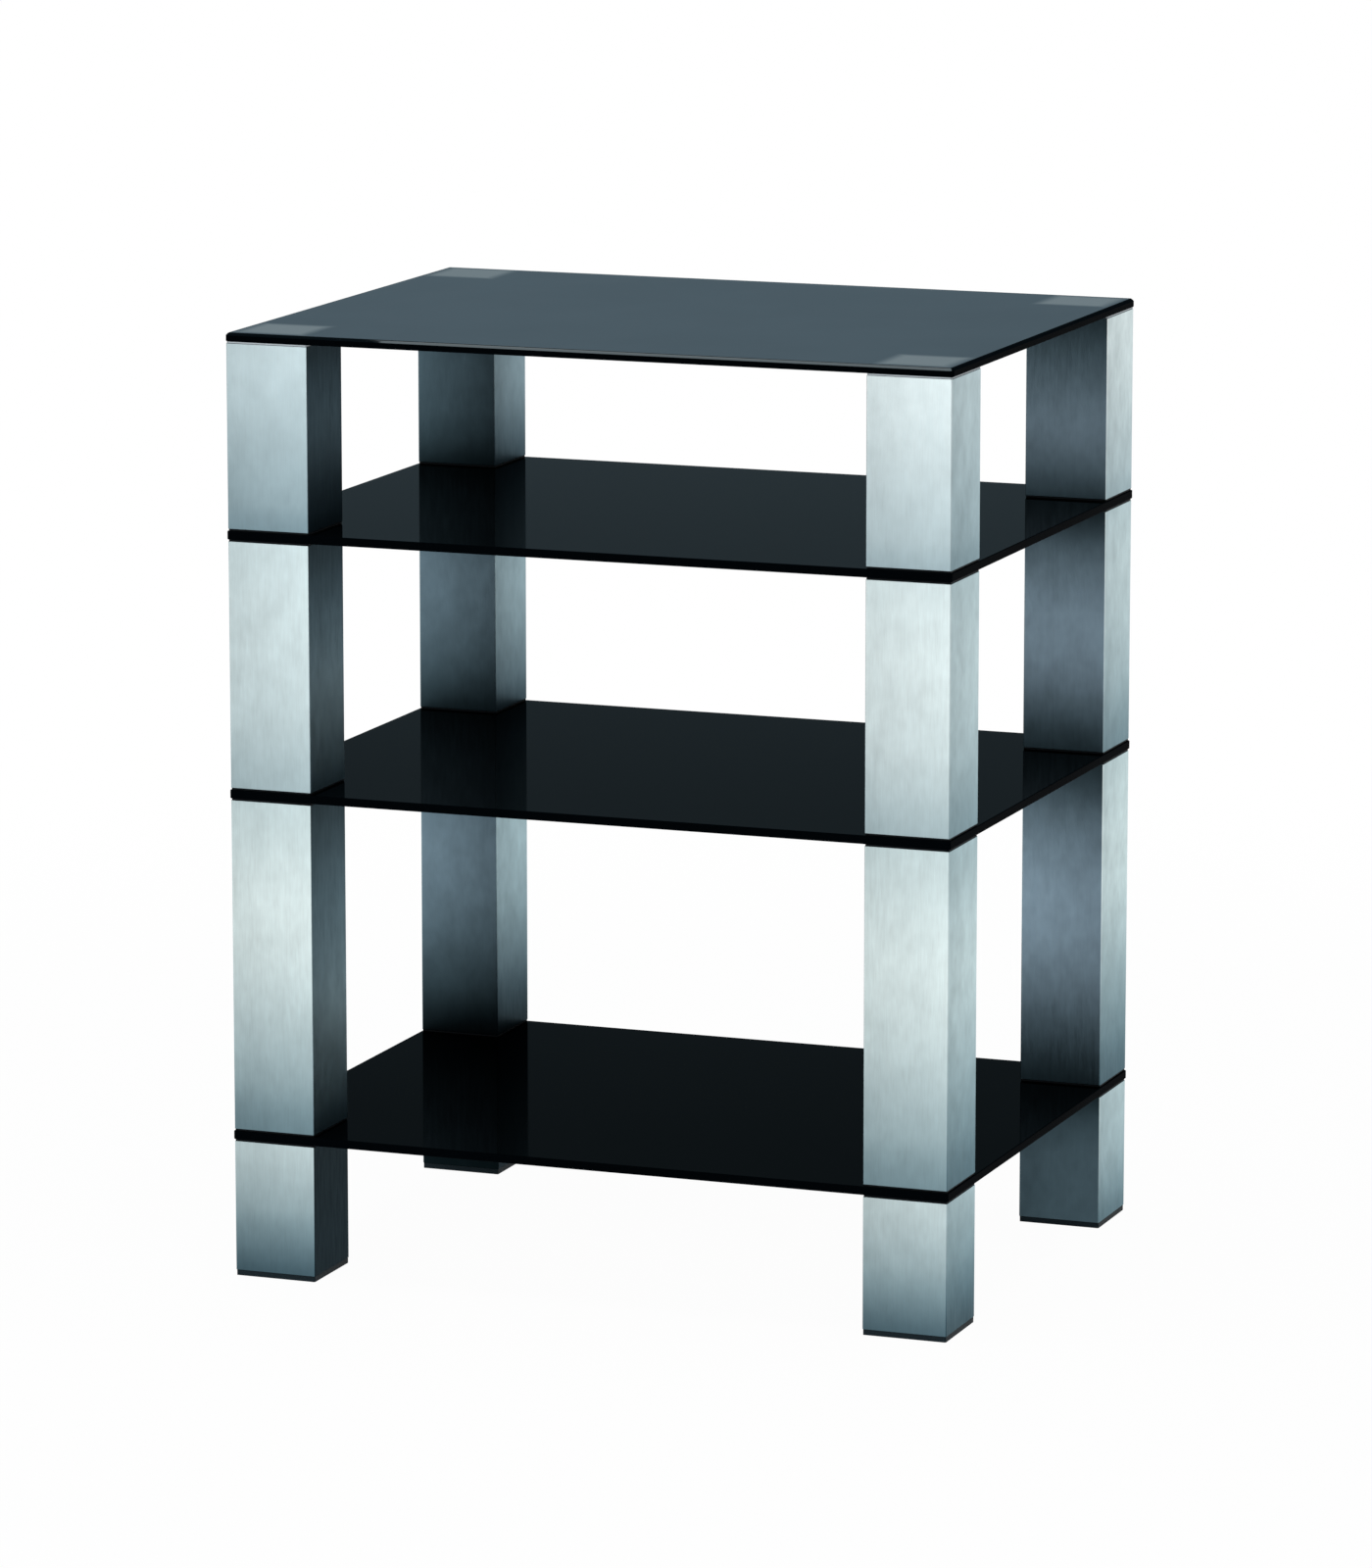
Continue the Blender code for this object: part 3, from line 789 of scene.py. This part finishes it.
def glass_edge(name, sheen, roughness, **sockets):
    """An edge of a sheet: almost black, with grinding marks that move its tone and its roughness."""
    finish = Finish.material(name, Specular_IOR_Level=sheen, IOR=GLASS_IOR, **sockets)
    marks = finish.noise(GRINDING_MARKS)
    finish.set("Base Color", finish.mixed(marks, EDGE_DEEP, EDGE_PALE))
    finish.set("Roughness", finish.ranged(marks, MARKS_LOW, MARKS_HIGH, *roughness))
    return finish


ground_edge = glass_edge("black_glass_edge", GROUND_SHEEN, GROUND_ROUGHNESS)
polished_facet = glass_edge("black_glass_facet", FACET_SHEEN, FACET_ROUGHNESS, Specular_Tint=FACET_TINT)
print("glass edges:", ground_edge.made.name, polished_facet.made.name)

# %% [markdown]
# ## Shelves
#
# A shelf's faces are flat, but each sheet below the top one has a rod hole near every corner. A Boolean
# modifier could cut the holes, but it leaves long slivers. Here one quarter of a face is a fan: rays
# leave the rod's axis, and each ray crosses the glass from the rim of the hole to the edge of the
# quarter. Four mirrored quarters make the face. The top sheet has no holes, and a disc closes each fan.

# %% Shelf outline
SHELF_CORNER_RADIUS = 0.0025
RAYS = 8


def plan(point):
    """A point seen from above."""
    return np.array([point.x, point.y])


def quarter_outline(half, centre, radius):
    """Outline of one quarter of a face, anticlockwise from the middle of its right edge.

    Rays from the rod's axis, evenly spaced in angle along each side, are cut by that side's line. The corner
    arc is its centre plus radius times (cos t, sin t). The points on the sheet's own edge come first, and
    their outward normals are given too. The points on the lines between two quarters follow.
    """
    def rays(start, end):
        """Angles of evenly spaced rays from the one point to the other, anticlockwise round the axis."""
        start_x, start_y = np.subtract(start, centre)
        end_x, end_y = np.subtract(end, centre)
        first = np.arctan2(start_y, start_x)
        sweep = (np.arctan2(end_y, end_x) - first) % (2 * math.pi)
        return np.linspace(first, first + sweep, RAYS + 1)

    reach = half - centre
    arc = np.linspace(0, QUARTER_TURN, CORNER_STEPS + 1)
    arc_normals = np.stack([np.cos(arc), np.sin(arc)], axis=1)
    arc_points = half - radius + radius * arc_normals
    right = np.tan(rays((half[0], 0), arc_points[0]))[:-1]
    back = 1 / np.tan(rays(arc_points[-1], (0, half[1])))[1:]
    left = np.tan(rays((0, half[1]), (0, 0)))[1:]
    front = 1 / np.tan(rays((0, 0), (half[0], 0)))[1:-1]
    points = np.concatenate([
        np.stack([np.full_like(right, half[0]), centre[1] + reach[0] * right], axis=1),
        arc_points,
        np.stack([centre[0] + reach[1] * back, np.full_like(back, half[1])], axis=1),
        np.stack([np.zeros_like(left), centre[1] - centre[0] * left], axis=1),
        np.stack([centre[0] - centre[1] * front, np.zeros_like(front)], axis=1),
    ])
    normals = np.concatenate([
        np.tile((1.0, 0.0), (len(right), 1)), arc_normals, np.tile((0.0, 1.0), (len(back), 1)),
    ])
    return points, normals


rod_low, rod_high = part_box("tie_rod_back_right")
ROD_AXIS = (plan(rod_low) + plan(rod_high)) / 2
shelf_low, shelf_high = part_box("lower_shelf")
sample_points, sample_normals = quarter_outline(plan(shelf_high), ROD_AXIS, SHELF_CORNER_RADIUS)
print(len(sample_points), "points round a quarter,", len(sample_normals), "of them on the edge")

# %% [markdown]
# The edge of a sheet is a profile of its own, walked from the upper face over the arris, or over the
# facet of the top sheet, and down to the lower face. It is carried round the outside. The same kind of
# profile lines the holes.

# %% Shelf edge
GLASS_ARRIS = 0.0008
TOP_FACET = 0.0024
FACET_EASE = 0.0025
FACET_ROUND = 0.0003
PROFILE_STEPS = 4


def edge_profile(arris, facet, thickness):
    """Outward offset and height from the upper face, over the arris or facet, down to the lower face.

    A round of radius r that turns by angle a takes r tan(a / 2) off the straight run on either side of it.
    """
    if facet:
        ease, fold = (radius * math.tan(EIGHTH_TURN / 2) for radius in (FACET_EASE, FACET_ROUND))
        runs = [0.0, facet * math.sqrt(2) - ease - fold, thickness - facet - fold - arris]
        turns, radii = [-EIGHTH_TURN, -EIGHTH_TURN, -QUARTER_TURN], [FACET_EASE, FACET_ROUND, arris]
        start = -facet - ease
    else:
        runs, turns, radii = [0.0, thickness - 2 * arris], [-QUARTER_TURN] * 2, [arris, arris]
        start = -arris
    return walk((start, 0.0), 0.0, runs, turns, np.array(radii), PROFILE_STEPS)


def swept(path, outward, profile, profile_normals, top):
    """A profile carried along a path: path + outward x offset from the profile's start, at top + height."""
    offset = profile[:, 0] - profile[0, 0]
    flat = path[None] + outward[None] * offset[:, None, None]
    level = np.repeat(profile[:, None, 1:], len(path), axis=1) + top
    normal_level = np.repeat(profile_normals[:, None, 1:], len(path), axis=1)
    points = np.concatenate([flat, level], axis=2)
    normals = np.concatenate([outward[None] * profile_normals[:, None, :1], normal_level], axis=2)
    return points, normals


sample_points, sample_normals = edge_profile(GLASS_ARRIS, TOP_FACET, shelf_high.z - shelf_low.z)
print("the top sheet's edge has", len(sample_points), "points and ends at", sample_points[-1].round(4))

# %% [markdown]
# A shelf is then a skin of several grids: the fans above and below, the edge, and the walls of the
# holes. Each grid names the zone of the glass that it belongs to, and each zone has its own finish.
# Mirroring a grid turns its faces inside out, so the corners of mirrored faces are listed backwards.

# %% Shelf
TOP_CORNER_RADIUS = 0.0042
HOLE_RADIUS = 0.0050
HOLE_ARRIS = 0.0004
# A strip of the edge is facet where its two normals add up to more than this, both outwards and upwards.
FACET_SLOPE = 0.3
UPPER_FACE, EDGE, UNDERSIDE, FACET = range(4)


class Skin:
    """Grids of points that together make one closed surface."""

    def __init__(self):
        self.points, self.normals, self.faces, self.zones = [], [], [], []

    def add(self, points, normals, faces, zone):
        """Adds a grid, whose faces number its own points."""
        start = sum(len(grid) for grid in self.points)
        self.points.append(points.reshape(-1, 3))
        self.normals.append(normals.reshape(-1, 3))
        self.faces.extend(face + start for face in faces)
        self.zones.extend([zone] * len(faces))

    def add_level(self, flat, height, facing, faces, zone):
        """Adds points that lie at one height and all face up, for facing 1, or down, for -1."""
        points = np.concatenate([flat, np.full((len(flat), 1), height)], axis=1)
        self.add(points, np.tile((0.0, 0.0, facing), (len(flat), 1)), faces, zone)


def wound(faces, backwards):
    """The faces as they are, or with their corners listed backwards."""
    return faces[:, ::-1] if backwards else faces


def shelf(name, face_finish, facet, drilled):
    """Four mirrored quarters of upper and lower face, the outer edge, and the walls of the rod holes."""
    low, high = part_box(name)
    rim, rim_normals = edge_profile(GLASS_ARRIS, facet, high.z - low.z)
    bore, bore_normals = edge_profile(HOLE_ARRIS, 0.0, high.z - low.z)
    radius = TOP_CORNER_RADIUS if facet else SHELF_CORNER_RADIUS
    upper, outward = quarter_outline(plan(high) + rim[0, 0], ROD_AXIS, radius + rim[0, 0])
    on_edge = len(outward)
    lower = upper.copy()
    lower[:on_edge] += outward * (rim[-1, 0] - rim[0, 0])
    spoke = upper - ROD_AXIS
    spoke = spoke / np.linalg.norm(spoke, axis=1)[:, None]
    hole = ROD_AXIS + spoke * (HOLE_RADIUS + HOLE_ARRIS)

    fan = grid_quads(2, len(upper))
    disc = np.arange(len(hole))[None]
    strips = grid_quads(len(rim), on_edge, closed_columns=False)
    walls = grid_quads(len(bore), len(hole))
    sloped = bool(facet) & (rim_normals[:-1] + rim_normals[1:] > FACET_SLOPE).all(axis=1)
    # The outline's long edge starts halfway round its corner.
    long_edge = np.arange(on_edge - 1) >= RAYS + CORNER_STEPS // 2
    is_facet = (sloped[:, None] & long_edge).ravel()

    skin = Skin()
    for sign in QUARTERS:
        mirrored = sign[0] * sign[1] < 0
        for outline, z, facing, zone in ((upper, high.z, 1.0, UPPER_FACE), (lower, low.z, -1.0, UNDERSIDE)):
            backwards = mirrored ^ (facing < 0)
            skin.add_level(np.concatenate([hole, outline]) * sign, z, facing, wound(fan, backwards), zone)
            if not drilled:
                skin.add_level(hole * sign, z, facing, wound(disc, backwards), zone)
        points, normals = swept(upper[:on_edge] * sign, outward * sign, rim, rim_normals, high.z)
        skin.add(points, normals, wound(strips[~is_facet], mirrored), EDGE)
        skin.add(points, normals, wound(strips[is_facet], mirrored), FACET)
        if drilled:
            points, normals = swept(hole * sign, -spoke * sign, bore, bore_normals, high.z)
            skin.add(points, normals, wound(walls, not mirrored), EDGE)
    return link_piece(
        f"{name}_glass", np.concatenate(skin.points), np.concatenate(skin.normals), skin.faces, skin.zones,
        [face_finish, ground_edge, glass_underside, polished_facet], name,
    )


shelves = [
    shelf("top_shelf", top_glass_face, TOP_FACET, False) if name == "top_shelf"
    else shelf(name, glass_face, 0.0, True)
    for name in SHELVES
]
print("shelves:", [len(piece.data.polygons) for piece in shelves], "faces")

# %% [markdown]
# Glass is a mirror, and from behind the rack its shelves would show the front soft box as a pale patch
# with hard edges. In a real studio a black flag hangs between such a lamp and the glass. Light linking
# does the same here: the shelves go into a collection that the front lamp leaves out.

# %% Flag on the front lamp
flagged = bpy.data.collections.new("glass_behind_the_flag")
for piece in shelves:
    flagged.objects.link(piece)
for link in flagged.collection_objects:
    link.light_linking.link_state = "EXCLUDE"
front_lamp.light_linking.receiver_collection = flagged

# %% [markdown]
# ## Moulded black plastic
#
# A plug closes each tube end that meets a drilled shelf, and a cap closes the lower end of each foot.
# They are injection moulded, so their CAD shape is right as it is, and only the finish is missing:
# black plastic with the fine, even grain of a spark-eroded mould. The caps stand on the floor, and a
# paler black shows that they are scuffed.

# %% Moulded black plastic
PLUGS = (
    "foot_post_top_plug", "lower_post_base_plug", "lower_post_top_plug",
    "middle_post_base_plug", "middle_post_top_plug", "upper_post_base_plug",
)
PLUG_COLOURS = ((0.003, 0.004, 0.005, 1.0), (0.008, 0.010, 0.012, 1.0))
FOOT_COLOURS = ((0.012, 0.020, 0.025, 1.0), (0.020, 0.032, 0.039, 1.0))
MOULD_GRAIN = (1800.0, 1800.0, 1800.0)
PLASTIC_SHEEN = 0.06
PLASTIC_ROUGHNESS = (0.45, 0.60)
GRAIN_BUMP = 0.2
GRAIN_DEPTH = 0.0001


def moulded_plastic(name, colours):
    """Black plastic whose fine grain moves its tone, roughness and height together."""
    finish = Finish.material(name, Specular_IOR_Level=PLASTIC_SHEEN)
    grain = finish.noise(MOULD_GRAIN)
    finish.set("Base Color", finish.mixed(grain, *colours))
    finish.set("Roughness", finish.ranged(grain, NOISE_LOW, NOISE_HIGH, *PLASTIC_ROUGHNESS))
    finish.bump(grain, GRAIN_BUMP, GRAIN_DEPTH)
    return finish


def dress(nodes, finish):
    """Gives carried-over CAD nodes a finish by filling their material slots."""
    for name in nodes:
        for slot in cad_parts[name].material_slots:
            slot.material = finish.made
    print(finish.made.name, "on", len(nodes), "nodes")


plug_plastic = moulded_plastic("moulded_black_plastic", PLUG_COLOURS)
dress([f"{node}_{corner}" for node in PLUGS for corner in CORNERS], plug_plastic)
foot_plastic = moulded_plastic("scuffed_black_plastic", FOOT_COLOURS)
dress([f"foot_cap_{corner}" for corner in CORNERS], foot_plastic)

# %% [markdown]
# ## Metal inside the posts
#
# The bonded plates are cut from rolled aluminium, and the rods and nuts are zinc plated. Little more
# than a thin rim of the plates shows, under the top glass, but these pieces belong to the part, so they
# get real finishes too. Both are bare metal whose noise moves tone, roughness and height: lines of the
# rolling mill along the plate, and cloudy patches on the zinc.

# %% Plates, rods and nuts
ROLLING_LINES = (15.0, 500.0, 500.0)
# The plates' grey is much darker than bare aluminium: painted shade, where their rim lies under the top
# glass.
PLATE_COLOURS_IN_SHADE = ((0.24, 0.27, 0.29, 1.0), (0.34, 0.37, 0.39, 1.0))
PLATE_ROUGHNESS = (0.32, 0.46)
PLATE_BUMP, PLATE_DEPTH = 0.15, 0.0001
ZINC_PATCHES = (160.0, 160.0, 60.0)
ZINC_DETAIL = 3.0
ZINC_COLOURS = ((0.50, 0.53, 0.55, 1.0), (0.66, 0.69, 0.70, 1.0))
ZINC_ROUGHNESS = (0.25, 0.42)
ZINC_BUMP, ZINC_DEPTH = 0.1, 0.0002


def bare_metal(name, pattern, colours, roughness, bump, depth):
    """Metal whose pattern moves its colour, roughness and height together."""
    finish = Finish.material(name, Metallic=1.0)
    noise = finish.noise(*pattern)
    finish.set("Base Color", finish.mixed(noise, *colours))
    finish.set("Roughness", finish.ranged(noise, NOISE_LOW, NOISE_HIGH, *roughness))
    finish.bump(noise, bump, depth)
    return finish


rolled_plate = bare_metal(
    "rolled_plate_aluminium", (ROLLING_LINES,), PLATE_COLOURS_IN_SHADE, PLATE_ROUGHNESS, PLATE_BUMP, PLATE_DEPTH,
)
zinc_plating = bare_metal(
    "zinc_plating", (ZINC_PATCHES, ZINC_DETAIL), ZINC_COLOURS, ZINC_ROUGHNESS, ZINC_BUMP, ZINC_DEPTH,
)
dress([f"bonded_plate_{corner}" for corner in CORNERS], rolled_plate)
dress([f"{node}_{corner}" for node in ("tie_rod", "flange_nut") for corner in CORNERS], zinc_plating)

# %% [markdown]
# ## Size
#
# The dressed rack has to fill the same box as the CAD model.
